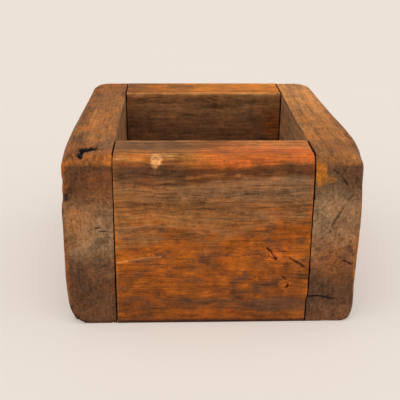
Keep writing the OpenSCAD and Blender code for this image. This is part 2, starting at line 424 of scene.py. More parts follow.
def wood_material(name, grain, heart, ring_gap, contrast=1.0):
    """Old wood with its grain along an axis and its growth rings round a line through heart.

    heart is where the rings' centre lies across the grain, and ring_gap how far apart they are.
    """
    material, tree, shader = new_material(name)
    where = tree.add("ShaderNodeTexCoord", output="Object")
    turned = tree.mapped(where, rotation=(0, 0, 0 if grain == 0 else -math.pi / 2))
    slow = tree.noise(turned, 28, detail=2, output=1)
    warp = tree.scaled(tree.vector("SUBTRACT", slow, (0.5, 0.5, 0.5)), 0.005)
    bent = tree.vector("ADD", turned, warp)
    along = tree.mapped(bent, scale=(0.045, 1, 1))

    across = tree.mapped(bent, scale=(0.03, 1, 1), location=(0, -heart[0], -heart[1]))
    radius = tree.add("ShaderNodeVectorMath", {0: across}, 1, operation="LENGTH")
    ring = tree.add("ShaderNodeTexNoise", {"W": tree.math("DIVIDE", radius, ring_gap), "Scale": 1.0,
                                           "Detail": 2.0}, noise_dimensions="1D")
    fibre = tree.noise(along, 620, detail=5, roughness=0.7)
    hair = tree.noise(along, 1250, detail=3, roughness=0.6)
    thread = tree.noise(along, 2600, detail=3, roughness=0.6)
    pores = tree.remap(tree.noise(along, 1500, detail=3), 0.60, 0.70)
    mottle = tree.noise(bent, 95, detail=7, roughness=0.66)
    blotch = tree.noise(bent, 38, detail=3, roughness=0.5)
    blots = tree.noise(bent, 250, detail=5, roughness=0.6)
    grit = tree.noise(where, 1100, detail=3, roughness=0.6)
    specks = tree.remap(tree.noise(where, 640, detail=3, roughness=0.7), 0.62, 0.70)
    flecks = tree.remap(tree.noise(along, 900, detail=4, roughness=0.7), 0.64, 0.76)
    end_grain = tree.attribute("end_grain")
    ring_tone = tree.math("SUBTRACT", 0.9 * contrast, tree.math("MULTIPLY", end_grain, 0.55 * contrast))
    sawn = tree.mapped(where, rotation=(0, SAW_ANGLE, 0), scale=(1, 1, 0.12))
    saw = tree.noise(sawn, 900, detail=3, roughness=0.6)

    tone = 1.0
    for value, amount in ((ring, ring_tone), (fibre, 1.6 * contrast), (hair, 1.1 * contrast),
                          (thread, 1.5 * contrast), (mottle, 1.5 * contrast), (blotch, 0.4 * contrast),
                          (grit, 1.0 * contrast)):
        part = tree.math("MULTIPLY", tree.math("SUBTRACT", value, 0.5), amount)
        tone = tree.math("ADD", part, tone)
    saw_part = tree.math("MULTIPLY", tree.math("SUBTRACT", saw, 0.5), end_grain)
    tone = tree.math("ADD", tone, tree.math("MULTIPLY", saw_part, 0.8 * contrast))
    tone = tree.math("MAXIMUM", tone, 0.12)

    # Colour of each point, with painted shade in places
    patina_and_shade = tree.attribute("patina_and_shade", "Color")
    colour = tree.scaled(patina_and_shade, tone)
    redder = tree.vector("MULTIPLY", colour, (1.22, 0.90, 0.55))
    greyer = tree.vector("MULTIPLY", colour, (0.88, 1.02, 1.12))
    colour = tree.mix(tree.remap(mottle, 0.52, 0.72, 0, 0.75), colour, redder)
    colour = tree.mix(tree.remap(blotch, 0.48, 0.30, 0, 0.7), colour, greyer)
    colour = tree.mix(tree.remap(blots, 0.50, 0.66, 0, 0.42), colour, tree.scaled(colour, 0.5))
    colour = tree.mix(tree.remap(blots, 0.46, 0.34, 0, 0.35), colour, tree.scaled(colour, 1.5))
    for marks in (pores, specks):
        colour = tree.mix(tree.math("MULTIPLY", marks, 0.45), colour, tuple(SOOT_AND_SHADE))
    colour = tree.mix(tree.math("MULTIPLY", flecks, 0.35), colour, tree.scaled(patina_and_shade, 1.55))
    crack = tree.attribute("crack")
    ragged = tree.math("ADD", crack, tree.math("MULTIPLY", tree.math("SUBTRACT", grit, 0.5), 1.1))
    cracked = tree.math("MULTIPLY", tree.remap(ragged, 0.20, 0.62), 0.93)
    colour = tree.mix(cracked, colour, tuple(SOOT_AND_SHADE * 0.5))
    tree.tree.links.new(colour, shader.inputs["Base Color"])

    polish = tree.math("MULTIPLY", tree.attribute("polish"), 0.24)
    dullness = tree.math("SUBTRACT", tree.remap(mottle, 0.3, 0.7, 0.62, 0.8), polish)
    tree.tree.links.new(dullness, shader.inputs["Roughness"])
    shader.inputs["Specular IOR Level"].default_value = 0.14

    height = tree.math("MULTIPLY", fibre, 0.8)
    for value, amount in ((thread, 0.35), (mottle, 0.5), (pores, -0.35), (specks, -0.2), (crack, -0.8)):
        height = tree.math("ADD", height, tree.math("MULTIPLY", value, amount))
    height = tree.math("ADD", height, tree.math("MULTIPLY", saw_part, 0.8))
    bump = tree.add("ShaderNodeBump", {"Height": height, "Strength": 0.75, "Distance": 0.32 * MM})
    tree.tree.links.new(bump, shader.inputs["Normal"])
    return material


def rust_material():
    """Dark iron with brown and orange rust."""
    material, tree, shader = new_material("rusted_iron")
    where = tree.add("ShaderNodeTexCoord", output="Object")
    scale = tree.noise(where, 700, detail=6, roughness=0.7)
    bloom = tree.noise(where, 260, detail=4)
    colour = tree.mix(tree.remap(scale, 0.35, 0.62), tuple(shade(38, 26, 22)), tuple(shade(92, 52, 32)))
    colour = tree.mix(tree.remap(bloom, 0.5, 0.7, 0, 0.7), colour, tuple(shade(128, 66, 34)))
    tree.tree.links.new(colour, shader.inputs["Base Color"])
    shader.inputs["Metallic"].default_value = 0.35
    tree.tree.links.new(tree.remap(scale, 0.3, 0.7, 0.6, 0.9), shader.inputs["Roughness"])
    bump = tree.add("ShaderNodeBump", {"Height": scale, "Strength": 0.8, "Distance": 0.2 * MM})
    tree.tree.links.new(bump, shader.inputs["Normal"])
    return material


def backdrop_material():
    """Pale paper that glows a little, so that shadows on it stay soft."""
    material, tree, shader = new_material("backdrop_paper")
    where = tree.add("ShaderNodeTexCoord", output="Object")
    cloud = tree.noise(where, 3, detail=2)
    colour = tree.mix(cloud, tuple(shade(214, 206, 198)), tuple(shade(216, 208, 200)))
    tree.tree.links.new(colour, shader.inputs["Base Color"])
    shader.inputs["Roughness"].default_value = 0.9
    shader.inputs["Specular IOR Level"].default_value = 0.1
    tree.tree.links.new(colour, shader.inputs["Emission Color"])
    shader.inputs["Emission Strength"].default_value = FLOOR_GLOW
    return material


SIDE_WOOD = wood_material("side_wood", 1, (0.030, -0.020), 0.0032)
BOARD_WOOD = wood_material("board_wood", 0, (0.120, 0.010), 0.0030)
BASE_WOOD = wood_material("base_wood", 1, (0.010, -0.060), 0.0035)
PRESS_WOOD = wood_material("press_wood", 0, (0.020, -0.050), 0.0030, contrast=0.75)
RUST = rust_material()

# ---------------------------------------------------------------- nails

# As the frame has them
NAIL_ROWS = {
    "front_left_nails": -1, "back_left_nails": -1, "front_right_nails": 1, "back_right_nails": 1,
    "base_left_nails": -1, "base_right_nails": 1,
}
NAIL_HEAD = Vector((1.3, 5.0, 3.4)) * MM
NAIL_SHANK = 3.0 * MM
NAIL_TIP = 1.4 * MM
WALL_NAILS = 3
BASE_NAILS = 2

# As hammering has left them
NAIL_SUNK = 0.4 * MM
NAIL_BEVEL = 0.25 * MM
NAIL_BEATING = 0.7 * MM
HEAD_SHARE = 0.96
LENGTH_LOST = 0.3 * MM


def side_inset(y):
    """How far a side's flat face lies inside the box's full width, at y."""
    return SIDE_TAPER * (y - FRONT) / DEPTH


def nail_places(node):
    """Where each nail of a row starts: the middle of its head's outer face."""
    side = NAIL_ROWS[node]
    low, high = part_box(node)
    outer = low.x if side < 0 else high.x
    if node.startswith("base"):
        ys = np.linspace(low.y + NAIL_HEAD.y / 2, high.y - NAIL_HEAD.y / 2, BASE_NAILS)
        inset = [side_inset(y) - side_inset(ys[0]) for y in ys]
        return [Vector((outer - side * i, y, (low.z + high.z) / 2)) for y, i in zip(ys, inset)]
    zs = np.linspace(low.z + NAIL_HEAD.z / 2, high.z - NAIL_HEAD.z / 2, WALL_NAILS)
    return [Vector((outer, (low.y + high.y) / 2, z)) for z in zs]


def nail_tree():
    """Geometry nodes for a row of cut nails with hammered heads, driven along +X or -X."""
    group = bpy.data.node_groups.new("nail_row", "GeometryNodeTree")
    face = group.interface
    face.new_socket("Nails", in_out="OUTPUT", socket_type="NodeSocketGeometry")
    for label, kind in (("Start", "Vector"), ("Step", "Vector"), ("Count", "Int"), ("Turn", "Float"),
                        ("Length", "Float"), ("Head", "Vector"), ("Shank", "Float"), ("Tip", "Float"),
                        ("Beating", "Float"), ("Seed", "Int"), ("Finish", "Material")):
        face.new_socket(label, in_out="INPUT", socket_type="NodeSocket" + kind)
    tree = Tree(group)
    given = group.nodes.new("NodeGroupInput").outputs
    out = group.nodes.new("NodeGroupOutput")

    head = tree.add("GeometryNodeMeshCube", {"Size": given["Head"], "Vertices X": 4,
                                             "Vertices Y": 10, "Vertices Z": 8})
    head_size = tree.add("ShaderNodeSeparateXYZ", {0: given["Head"]})
    half_head = tree.math("MULTIPLY", head_size.node.outputs["X"], 0.5)
    head_middle = tree.add("ShaderNodeCombineXYZ", {"X": half_head})
    head = tree.add("GeometryNodeSetPosition", {"Geometry": head, "Offset": head_middle})

    shank_size = tree.add("ShaderNodeCombineXYZ", {"X": given["Length"], "Y": given["Shank"],
                                                   "Z": tree.math("MULTIPLY", given["Shank"], 0.7)})
    shank = tree.add("GeometryNodeMeshCube", {"Size": shank_size, "Vertices X": 12,
                                              "Vertices Y": 3, "Vertices Z": 3})
    place = tree.add("ShaderNodeSeparateXYZ", {0: tree.add("GeometryNodeInputPosition")})
    share = tree.math("ADD", tree.math("DIVIDE", place.node.outputs["X"], given["Length"]), 0.5)
    narrowing = tree.math("SUBTRACT", 1.0, tree.math("DIVIDE", given["Tip"], given["Shank"]))
    width = tree.math("SUBTRACT", 1.0, tree.math("MULTIPLY", share, narrowing))
    tapered = tree.add("ShaderNodeCombineXYZ", {
        "X": tree.math("MULTIPLY", share, given["Length"]),
        "Y": tree.math("MULTIPLY", place.node.outputs["Y"], width),
        "Z": tree.math("MULTIPLY", place.node.outputs["Z"], width)})
    shank = tree.add("GeometryNodeSetPosition", {"Geometry": shank, "Position": tapered})

    nail = group.nodes.new("GeometryNodeJoinGeometry")
    group.links.new(shank, nail.inputs[0])
    group.links.new(head, nail.inputs[0])
    turn = tree.add("ShaderNodeCombineXYZ", {"Z": given["Turn"]})
    line = tree.add("GeometryNodeMeshLine", {"Count": given["Count"], "Start Location": given["Start"],
                                             "Offset": given["Step"]})
    rows = tree.add("GeometryNodeInstanceOnPoints", {"Points": line, "Instance": nail.outputs[0],
                                                     "Rotation": turn})
    solid = tree.add("GeometryNodeRealizeInstances", {"Geometry": rows})
    place = tree.add("GeometryNodeInputPosition")
    beat = tree.add("ShaderNodeTexNoise", {"Vector": place, "W": given["Seed"], "Scale": 420.0,
                                           "Detail": 2.0}, 1, noise_dimensions="4D")
    beat = tree.scaled(tree.vector("SUBTRACT", beat, (0.5, 0.5, 0.5)), given["Beating"])
    solid = tree.add("GeometryNodeSetPosition", {"Geometry": solid, "Offset": beat})
    solid = tree.add("GeometryNodeSetMaterial", {"Geometry": solid, "Material": given["Finish"]})
    group.links.new(solid, out.inputs[0])
    return group


def make_nails(node, tree, seed):
    """A row of rusted nails that stands for its node."""
    places = nail_places(node)
    low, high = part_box(node)
    side = NAIL_ROWS[node]
    piece = link(node + "_rusted", bpy.data.meshes.new(node + "_rusted"))
    row = piece.modifiers.new("nail_row", "NODES")
    row.node_group = tree
    soften = piece.modifiers.new("soften", "BEVEL")
    soften.width = NAIL_BEVEL
    soften.segments = 2
    length = high.x - low.x - abs(places[-1].x - places[0].x)
    values = {"Start": places[0], "Step": places[1] - places[0], "Count": len(places),
              "Turn": 0.0 if side < 0 else math.pi, "Length": length - LENGTH_LOST,
              "Head": NAIL_HEAD * HEAD_SHARE, "Shank": NAIL_SHANK, "Tip": NAIL_TIP,
              "Beating": NAIL_BEATING, "Seed": seed, "Finish": RUST}
    for item in tree.interface.items_tree:
        if item.in_out == "INPUT":
            value = values[item.name]
            row[item.identifier] = tuple(value) if isinstance(value, Vector) else value
    finished = piece.evaluated_get(bpy.context.evaluated_depsgraph_get())
    plain = bpy.data.meshes.new_from_object(finished)
    piece.modifiers.clear()
    piece.data = plain
    plain.name = piece.name
    stand_for(node, piece, "box")


# ---------------------------------------------------------------- side blocks


def countersink(block, place, side):
    """Sinks the wood round a nail's head to just behind the head's face, and stains it."""
    away = (block.points - place) / (1, 0.70 * NAIL_HEAD.y, 0.78 * NAIL_HEAD.z)
    share = np.exp(-away[:, 1] ** 4 - away[:, 2] ** 4) * ease(block.outward[:, 0] * side, 0.1, 0.5)
    floor = place[0] - side * NAIL_SUNK
    block.points[:, 0] += (floor - block.points[:, 0]) * share
    block.sink *= 1 - share
    block.tint(SOOT_AND_SHADE, near(block.points, place, (6 * MM, 7 * MM, 4.5 * MM)) * 0.75)
    block.crack = np.maximum(block.crack, share * 0.8)


class Wear:
    """How one side block has worn, in metres.

    front and shoulder: how far the front end leans in, all the way up and more near the top.
    belly: how far the outer face swells near the middle.
    front_corner, top_front, top, foot: radii of its rounded edges.
    tuck: how much more the foot is drawn in at the front.
    """

    def __init__(self, front, shoulder, belly, front_corner, top_front, top, foot, tuck=0.0):
        self.front, self.shoulder, self.belly = front, shoulder, belly
        self.front_corner, self.top_front, self.top = front_corner, top_front, top
        self.foot, self.tuck = foot, tuck

    def lean(self, points):
        """How far the outer face lies inside the box's full width."""
        y, z = points[:, 1], points[:, 2]
        near_front = ease(y, FRONT + 22 * MM, FRONT)
        worn = near_front * (self.front + self.shoulder * ease(z, 0.055, 0.070))
        bulge = self.belly * np.exp(-((y + 28 * MM) / (36 * MM)) ** 2)
        return np.maximum(side_inset(y) + worn - bulge, 0)

    def top_radius(self, points):
        """Radius of the top's outer edge, which is larger towards the front."""
        at_front = ease(points[:, 1], FRONT + 34 * MM, FRONT + 4 * MM)
        return self.top + (self.top_front - self.top) * at_front


def plan_distance(points, outer, side, front_corner, back_corner):
    """How far each point is inside the rounded outer outline, and which way is out."""
    y = points[:, 1]
    at_front = y < (FRONT + BACK) / 2
    in_x = (outer - points[:, 0]) * side
    in_y = np.where(at_front, y - FRONT, BACK - y)
    radius = np.where(at_front, front_corner, back_corner)
    past = np.maximum(np.column_stack([radius - in_x, radius - in_y]), 0)
    reach = np.linalg.norm(past, axis=1)
    corner = (past > 0).all(axis=1)
    inside = np.where(corner, radius - reach, np.minimum(in_x, in_y))
    flat = np.column_stack([in_x <= in_y, in_x > in_y]).astype(float)
    way = np.where(corner[:, None], past / np.maximum(reach, 1e-9)[:, None], flat)
    return inside, way * np.column_stack([np.full(len(y), side), np.where(at_front, -1, 1)])


def round_level(points, inside, way, level, up, radius):
    """Rounds the edge between the outer outline and the top (up 1) or the foot (up -1)."""
    past_side = radius - inside
    past_level = radius - (level - points[:, 2]) * up
    reach = np.hypot(past_side, past_level)
    beyond = (past_side > 0) & (past_level > 0) & (reach > radius)
    pull = np.where(beyond, 1 - radius / np.maximum(reach, 1e-9), 0)
    points[:, :2] -= way * (past_side * pull)[:, None]
    points[:, 2] -= up * past_level * pull


# How far from the middle the outer front edges are
OUTER_EDGE = 0.068


def side_block(name, side, wear, seed):
    """A worn side block, before its own marks. side is -1 for the left and 1 for the right."""
    low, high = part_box(name)
    outer, inner = (low.x, high.x) if side < 0 else (high.x, low.x)
    points, faces = grid_block(grid_lines(low.x, high.x, FINE_STEP),
                               grid_lines(FRONT, BACK, COARSE_STEP, FINE_STEP),
                               grid_lines(0, RIM, FINE_STEP * 1.1))
    outside, inside = (0, outer, -side), (0, inner, side)
    front, back, foot, top = (1, FRONT, 1), (1, BACK, -1), (2, 0, 1), (2, RIM, -1)
    uneven = 1 + 0.12 * rough(points, 22 * MM, seed)
    at_front = ease(points[:, 1], FRONT + 44 * MM, FRONT + 6 * MM)
    round_edge(points, outside, foot, SIDE_FOOT_ROUND + (wear.foot - SIDE_FOOT_ROUND) * at_front)
    round_edge(points, outside, front, wear.front_corner * uneven)
    round_edge(points, outside, back, BACK_CORNER_ROUND)
    depth, way = plan_distance(points, outer, side, wear.front_corner * uneven, BACK_CORNER_ROUND)
    sideways = way[:, 0] ** 2
    end_radius = np.where(points[:, 1] < 0, FRONT_ROUND, BACK_ROUND)
    top_radius = end_radius + (wear.top_radius(points) - end_radius) * sideways
    round_level(points, depth, way, RIM, 1, top_radius * uneven)
    depth, way = plan_distance(points, outer, side, wear.front_corner * uneven, BACK_CORNER_ROUND)
    round_level(points, depth, way, 0, -1, FOOT_ROUND)
    for edge in (front, back):
        round_edge(points, inside, edge, JOINT_ARRIS)
    round_edge(points, inside, top, RIM_ARRIS * uneven)
    share = (points[:, 0] - inner) / (outer - inner)
    points[:, 0] -= side * share * wear.lean(points)
    points[:, 0] -= side * share * wear.tuck * at_front * ease(points[:, 2], 24 * MM, 4 * MM)

    block = Board(points, faces, 1, BROWN, seed)
    block.weather(lumps=0.16, ridges=0.05, pits=0.12)
    block.knock(70, 2.6 * MM, 0.35 * MM)
    y, z = points[:, 1], points[:, 2]

    # The ends: grey-brown end grain, darkest at the top and the foot
    ends = block.end_grain
    block.tint(DRIFT, ends * 0.85)
    mottled = rough(points, 7 * MM, seed + 31, octaves=3)
    flecked = rough(points, 2.3 * MM, seed + 37, octaves=2)
    for colour, values, start, end, share in (
            (UMBER, z, 0.058, 0.072, 1.0), (SOOT_AND_SHADE, z, 0.070, 0.078, 0.15), (UMBER, z, 0.036, 0.022, 0.8),
            (UMBER, mottled, 0.1, 0.7, 0.6), (CHESTNUT, mottled, -0.2, -1.0, 0.4),
            (SOOT_AND_SHADE, flecked, 0.45, 1.2, 0.5), (HONEY, flecked, -0.5, -1.2, 0.4)):
        block.fade(colour, ends, values, start, end, share)

    # The top, and the outer face below it
    top_face = block.facing(2, 1)
    block.tint(HONEY, top_face * (0.75 + 0.25 * rough(points, 16 * MM, seed + 33)))
    outer_face = block.facing(0, side)
    block.tint(WALNUT, outer_face * (0.6 + 0.4 * rough(points, 20 * MM, seed + 35)))
    block.fade(UMBER, outer_face, z, 0.018, 0.004, 0.6)
    block.polish += top_face * 0.6 + outer_face * 0.3

    # The inner face: dark with painted shade inside the box, with a paler line along the rim
    inner_face = block.facing(0, -side)
    block.tint(WALNUT, inner_face * 0.9)
    block.fade(HONEY, inner_face, z, 0.045, 0.078, 0.7)
    block.tint(DRIFT * 1.5, inner_face * 0.75)

    # Painted shadow: a dark line along the edge it stands on, where it meets the floor, and painted shade
    # on the faces that turn down. The joints are dark, and the nails stain the wood
    painted_contact_shadow(block)
    in_joint = (y < FRONT_INNER) | (y > BACK_INNER)
    block.crack = np.maximum(block.crack, np.where(in_joint, inner_face, 0))
    # Painted shade on the faces that turn down
    block.tint(UMBER, block.facing(2, -1) * 0.7)
    for node, nail_side in NAIL_ROWS.items():
        for place in nail_places(node) if nail_side == side else ():
            countersink(block, np.array(place), side)
    return block


def worn_edge(board, away, colour, share, seed):
    """Bright bare wood where handling has rubbed an edge: away is how far each point is from it."""
    patchy = ease(rough(board.points, 9 * MM, seed, octaves=3), -0.5, 0.5)
    board.tint(colour, ease(away, 2.2 * MM, 0.5 * MM) * (0.45 + 0.55 * patchy) * share)


def painted_contact_shadow(board):
    """Painted shadow: a dark line along the edge that a board stands on, where it meets the floor."""
    board.tint(SOOT_AND_SHADE, ease(board.points[:, 2], 2.2 * MM, 1.2 * MM) * 0.8)


def rub_front_edges(block, side, upright, level, seed):
    """Rubs the outer upright edge and the top edge of a side block's front end, each in its colour."""
    x, y, z = block.points.T
    worn_edge(block, np.hypot(x - side * OUTER_EDGE, y - FRONT), upright, 0.6, seed)
    worn_edge(block, np.hypot(y - FRONT - 2 * MM, z - RIM + 1 * MM) - 2 * MM, level, 0.7, seed + 2)


def make_left_block():
    """Gouged on top, bitten at its outer front edge and well rounded at the foot."""
    wear = Wear(front=0.1 * MM, shoulder=1.0 * MM, belly=0.2 * MM, front_corner=4 * MM,
                top_front=5.5 * MM, top=3.4 * MM, foot=12 * MM, tuck=0.8 * MM)
    block = side_block("left_side_block", -1, wear, 11)
    points = block.points
    y, z = points[:, 1], points[:, 2]
    front = block.facing(1, -1)

    # A gouge at the front of the top, with a leg that runs to the front edge
    block.spot((-54.0, -57.0, TOP), (5.5, 5.5, 3.0), AMBER, 0.45)
    block.spot((-49.0, -54.0, TOP), (4.0, 9.0, 3.0), WALNUT, 0.7)
    block.groove(on_top((-57.8, -62.0), (-54.5, -60.5), (-50.5, -58.5)), 1.3, 2.3, dark=1.0, wander=0.5)
    leg = [(-58.0, -62.0, TOP), (-58.6, -66.0, TOP), (-58.2, -69.5, 81.3)]
    block.groove(leg, 0.9, 1.6, dark=1.0, wander=0.4)
    block.dent((-56.8, -61.5, TOP), (1.8, 2.2, 2.0), 1.4, dark=1.0)
    block.dent((-52.5, -58.8, TOP), (2.2, 1.5, 2.0), 1.1, dark=1.0)
    block.groove(on_top((-55.5, -58.0), (-52.0, -52.5)), 0.5, 0.8, dark=0.85)
    block.groove(on_top((-53.0, -57.5), (-49.8, -53.0)), 0.45, 0.6, dark=0.75)
    for shift in (0.0, 2.2, 4.1):
        block.groove(on_top((-50.5 + shift, -52.0), (-53.0 + shift, -43.5)), 0.45, 0.25, dark=0.45)

    # Bites out of the outer front edge
    for across, height, size, depth, dark in (
            (-68.0, 70.0, (1.7, 3.5, 1.6), 1.5, 0.7), (-68.0, 62.0, (1.9, 4.0, 1.9), 1.9, 0.9),
            (-67.5, 57.0, (1.2, 2.5, 1.2), 0.7, 0.5), (-65.0, 64.5, (2.2, 2.0, 1.4), 0.8, 0.5)):
        block.dent((across, FACE, height), size, depth, dark)

    # Short checks that run in from the joint
    for height, reach in ((46.6, 6.5), (44.9, 5.0), (43.6, 3.2)):
        block.groove(on_face((-44.5, height), (-44.5 - reach, height + 0.7)), 0.32, 0.5, dark=0.75)
    block.groove(on_face((-50.5, 49.0), (-52.8, 48.6)), 0.5, 0.4, dark=0.6)

    # Colours of the front end
    patches = rough(points, 5 * MM, 17, octaves=3)
    block.fade(WALNUT, front, z, 0.052, 0.064, 0.7)
    block.fade(UMBER, front, z, 0.062, 0.074, 0.75)
    block.patch(DRIFT, front, (-0.054, FRONT, 0.047), (0.012, 1, 0.008), 0.4)
    block.patch(OCHRE, front, (-0.062, FRONT, 0.050), (0.005, 1, 0.006), 0.4)
    block.tint(UMBER, front * ease(z, 0.040, 0.028) * (0.6 + 0.4 * patches))
    block.patch(UMBER, front, (-0.060, FRONT, 0.070), (0.006, 1, 0.008), 0.8)
    block.patch(CHESTNUT, front, (-0.052, FRONT, 0.070), (0.007, 1, 0.006), 0.35)
    for place, size, colour, share in (
            ((-68.0, -71.0, 72.0), (3.6, 7.0, 13.0), RUSSET, 0.95),
            ((-68.5, -70.5, 30.0), (3.6, 4.5, 30.0), CHESTNUT, 0.7),
            ((-68.0, -72.0, 70.2), (3.0, 4.0, 2.0), SOOT_AND_SHADE, 0.9),
            ((-66.0, FACE, 63.0), (3.4, 4.0, 2.2), SOOT_AND_SHADE, 0.85),
            ((-63.5, FACE, 66.5), (2.0, 3.0, 1.6), SOOT_AND_SHADE, 0.5)):
        block.spot(place, size, colour, share)
    rub_front_edges(block, -1, OCHRE, AMBER, 41)

    # Colours of the top: paler in the middle, brown at both ends, and black in the gouge
    top = block.facing(2, 1)
    for colour, start, end, share in ((BROWN, -0.030, -0.060, 0.5), (CHESTNUT, -0.040, -0.060, 0.5),
                                      (CHESTNUT, 0.030, 0.060, 0.6)):
        block.fade(colour, top, y, start, end, share)
    block.patch(WALNUT, top, (-0.056, 0.035, RIM), (0.005, 0.025, 1), 0.6)
    block.patch(DRIFT, top, (-0.049, -0.052, RIM), (0.004, 0.008, 1), 0.7)
    for place, size in (((-57.0, -61.6, TOP), (2.9, 2.9, 3.0)), ((-52.8, -59.4, TOP), (4.2, 2.2, 3.0)),
                        ((-58.4, -67.0, 81.5), (1.6, 4.2, 3.0))):
        block.spot(place, size, SOOT_AND_SHADE * 0.4)
    make_board("left_side_block", block, SIDE_WOOD, "box")


# Where the foot of the right block has split off, how far it has moved and the gap it leaves
RIGHT_JOINT = 0.0445
SPLIT_Z = 13.0 * MM
SPLIT_SHIFT = 0.7 * MM
SPLIT_GAP = 0.12 * MM


def make_right_block():
    """Checked and scratched, stained beside the joint, with a foot that has split and moved."""
    wear = Wear(front=0.7 * MM, shoulder=0.9 * MM, belly=0.8 * MM, front_corner=5 * MM,
                top_front=7 * MM, top=3.2 * MM, foot=9 * MM)
    block = side_block("right_side_block", 1, wear, 71)
    points = block.points
    x, y, z = points.T
    front = block.facing(1, -1)

    # A long check down from the outer edge, and crossed saw scratches above it
    block.groove(on_face((66.5, 70.0), (61.5, 63.5), (57.0, 56.0), (53.5, 49.5)), 0.36, 0.6, dark=0.7)
    block.groove(on_face((52.5, 76.0), (57.5, 71.0), (58.8, 69.0)), 0.42, 0.5, dark=0.75)
    block.groove(on_face((57.8, 76.0), (55.5, 72.6)), 0.4, 0.35, dark=0.6)
    for step in range(5):
        foot = 71.5 - 1.7 * step
        block.groove(on_face((65.8, foot + 2.0), (61.0 - 0.5 * step, foot - 2.4)), 0.3, 0.22, dark=0.3)
    for across, height, size, depth, dark in (
            (68.0, 67.0, (1.4, 3.0, 1.3), 1.2, 0.9), (66.0, 64.5, (1.2, 1.5, 1.1), 0.7, 0.85),
            (68.0, 58.0, (1.2, 3.0, 2.4), 0.6, 0.3), (68.0, 17.0, (1.5, 4.0, 2.5), 0.7, 0.2)):
        block.dent((across, FACE, height), size, depth, dark)
    block.groove(on_face((60.0, 31.5), (64.0, 29.6), (66.5, 30.2)), 0.6, 0.7, dark=0.75)

    # The foot has split off along the grain and moved against the front board
    from_joint = x - RIGHT_JOINT
    split = SPLIT_Z + 0.5 * MM * np.sin(from_joint / (2.3 * MM)) - from_joint * 0.10
    loose = ease(z, split + 0.3 * MM, split - 0.3 * MM) * ease(x, 0.0585, 0.0455)
    points[:, 0] -= SPLIT_SHIFT * loose * ease(y, FRONT_INNER, FRONT + 9 * MM)
    wave = on_face((44.5, 13.2), (46.5, 13.3), (49.0, 13.6), (51.5, 13.1), (54.5, 12.2), (57.0, 11.8))
    block.groove(wave, 0.42, 0.9, dark=0.95, wander=0.15)
    block.groove([(44.4, FACE, 13.2), (44.4, -60.0, 13.2)], 0.5, 0.5, dark=0.9, wander=0.1)

    # Colours of the front end
    patches = rough(points, 5 * MM, 77, octaves=3)
    block.fade(WALNUT, front, z, 0.060, 0.070, 0.7)
    block.fade(UMBER, front, z, 0.064, 0.076, 0.8)
    block.patch(DRIFT, front, (0.054, FRONT, 0.056), (0.014, 1, 0.016), 0.8)
    block.patch(CHESTNUT, front, (0.056, FRONT, 0.033), (0.013, 1, 0.010), 0.6)
    block.tint(UMBER, front * ease(z, 0.034, 0.020) * (0.75 + 0.25 * patches))
    block.fade(CLAY, front, z, 0.012, 0.006, 0.45)
    block.patch(UMBER, front, (0.062, FRONT, 0.072), (0.006, 1, 0.006), 0.7)
    for place, size, colour, share in (
            ((46.3, FACE, 74.0), (3.4, 4.0, 6.0), OCHRE * 1.2, 1.0),
            ((45.4, FACE, 74.6), (2.0, 3.0, 4.4), AMBER, 0.8),
            ((67.0, FACE, 67.0), (2.6, 4.0, 1.8), SOOT_AND_SHADE, 0.8),
            ((51.0, FACE, 71.0), (3.2, 4.0, 1.7), OCHRE, 0.8),
            ((67.8, -70.5, 34.0), (3.4, 4.5, 26.0), OCHRE, 0.85)):
        block.spot(place, size, colour, share)
    block.tint(UMBER, front * ease(patches, 0.0, 0.6) * ease(z, 0.046, 0.038) * 0.7)
    rub_front_edges(block, 1, CHESTNUT, BROWN, 81)

    # Colours of the top: pale at the back, brown with a dark patch at the front
    top = block.facing(2, 1)
    for colour, start, end, share in ((HONEY, -0.050, -0.020, 0.8), (STRAW, -0.030, 0.040, 0.42),
                                      (BROWN, -0.042, -0.062, 0.75)):
        block.fade(colour, top, y, start, end, share)
    block.patch(UMBER, top, (0.060, -0.056, RIM), (0.008, 0.007, 1), 0.25)
    make_board("right_side_block", block, SIDE_WOOD, "box")


# ---------------------------------------------------------------- front and back boards


def cross_board(name, outer, inner, edge_round, seed, step):
    """A worn wall board between the side blocks, before its own marks."""
    low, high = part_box(name)
    low.x -= JOINT_CLOSING
    high.x += JOINT_CLOSING
    points, faces = grid_block(grid_lines(low.x, high.x, step), grid_lines(low.y, high.y, THICKNESS_STEP),
                               grid_lines(0, RIM, step))
    way = 1 if inner > outer else -1
    outside, inside, foot, top = (1, outer, way), (1, inner, -way), (2, 0, 1), (2, RIM, -1)
    uneven = 1 + 0.15 * rough(points, 30 * MM, seed)
    round_edge(points, outside, top, edge_round * uneven)
    round_edge(points, outside, foot, FOOT_ROUND)
    round_edge(points, inside, top, RIM_ARRIS)
    round_edge(points, inside, foot, JOINT_ARRIS)
    for end in ((0, low.x, 1), (0, high.x, -1)):
        for side in (outside, inside, top):
            round_edge(points, end, side, JOINT_ARRIS)
    board = Board(points, faces, 0, BROWN, seed)
    board.weather(lumps=0.12, ridges=0.07, pits=0.06)
    board.crack = np.maximum(board.crack, board.facing(0, 1) + board.facing(0, -1))
    # Painted shade on the faces that turn down, along the foot
    board.tint(UMBER, board.facing(2, -1) * 0.7)
    # Painted shade: the inner face, inside the box, is darker
    board.tint(WALNUT, board.facing(1, way) * 0.85)
    return board


